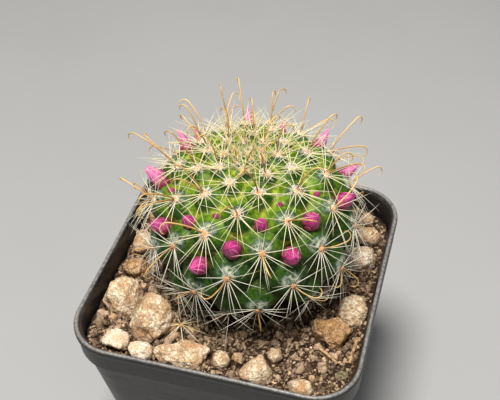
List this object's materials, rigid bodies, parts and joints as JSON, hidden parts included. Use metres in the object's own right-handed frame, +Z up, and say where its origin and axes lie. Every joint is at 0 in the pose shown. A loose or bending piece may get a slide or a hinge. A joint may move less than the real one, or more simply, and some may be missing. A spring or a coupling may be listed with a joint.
{
  "type": "potted round cactus",
  "caption": "Globe-shaped cactus with spiral tubercles, hooked spines and pink buds, growing in a square plastic nursery pot with stony soil.",
  "frame": {"origin": "centre of the pot's flat underside", "axes": "+Z up out of the pot; X and Y along the pot's sides, with -Y the side nearest the picture's camera and +X to its right"},
  "size_m": [0.0568, 0.0589, 0.084],
  "materials": {
    "pot_plastic": "black moulded plastic, semi-matt and dusty, with faint wear lines",
    "soil": "dry crumbly brown potting soil with grit",
    "cactus_skin": "waxy green skin, darker and bloomed towards the tubercle tips, cream and golden spines",
    "bud": "silky pink petals, wine red towards the base",
    "cream_stone": "rough cream and tan pumice",
    "brown_stone": "rough brown grit stone",
    "green_stone": "rough pale green stone",
    "straw": "dry plant straw"
  },
  "bodies": {
    "root": {"pot": "pot_plastic", "soil": "soil", "cactus": "cactus_skin", "bud_45": "bud", "bud_48": "bud", "bud_50": "bud", "bud_51": "bud", "bud_53": "bud", "bud_54": "bud", "bud_56": "bud", "bud_57": "bud", "bud_58": "bud", "bud_59": "bud", "bud_60": "bud", "bud_61": "bud", "bud_62": "bud", "bud_63": "bud", "bud_64": "bud", "bud_65": "bud", "bud_66": "bud", "bud_67": "bud", "bud_68": "bud", "bud_69": "bud", "stone_left_large": "cream_stone", "stone_left_upper": "cream_stone", "stone_left_middle": "brown_stone", "stone_left_back": "cream_stone", "stone_corner_left": "cream_stone", "stone_front_round": "cream_stone", "stone_front_long": "cream_stone", "stone_front_small": "cream_stone", "stone_front_chip": "cream_stone", "stone_front_tall": "cream_stone", "stone_middle_chip": "cream_stone", "stone_front_wedge": "cream_stone", "stone_right_brown": "brown_stone", "stone_right_large": "cream_stone", "stone_right_green": "green_stone", "stone_right_bright": "cream_stone", "stone_right_back": "cream_stone", "stone_corner_right": "cream_stone", "stone_back_right": "brown_stone", "stone_back_middle": "cream_stone", "stone_back_left": "cream_stone", "stone_left_chip": "brown_stone", "straw_inner": "straw", "straw_outer": "straw"}
  },
  "joints": []
}
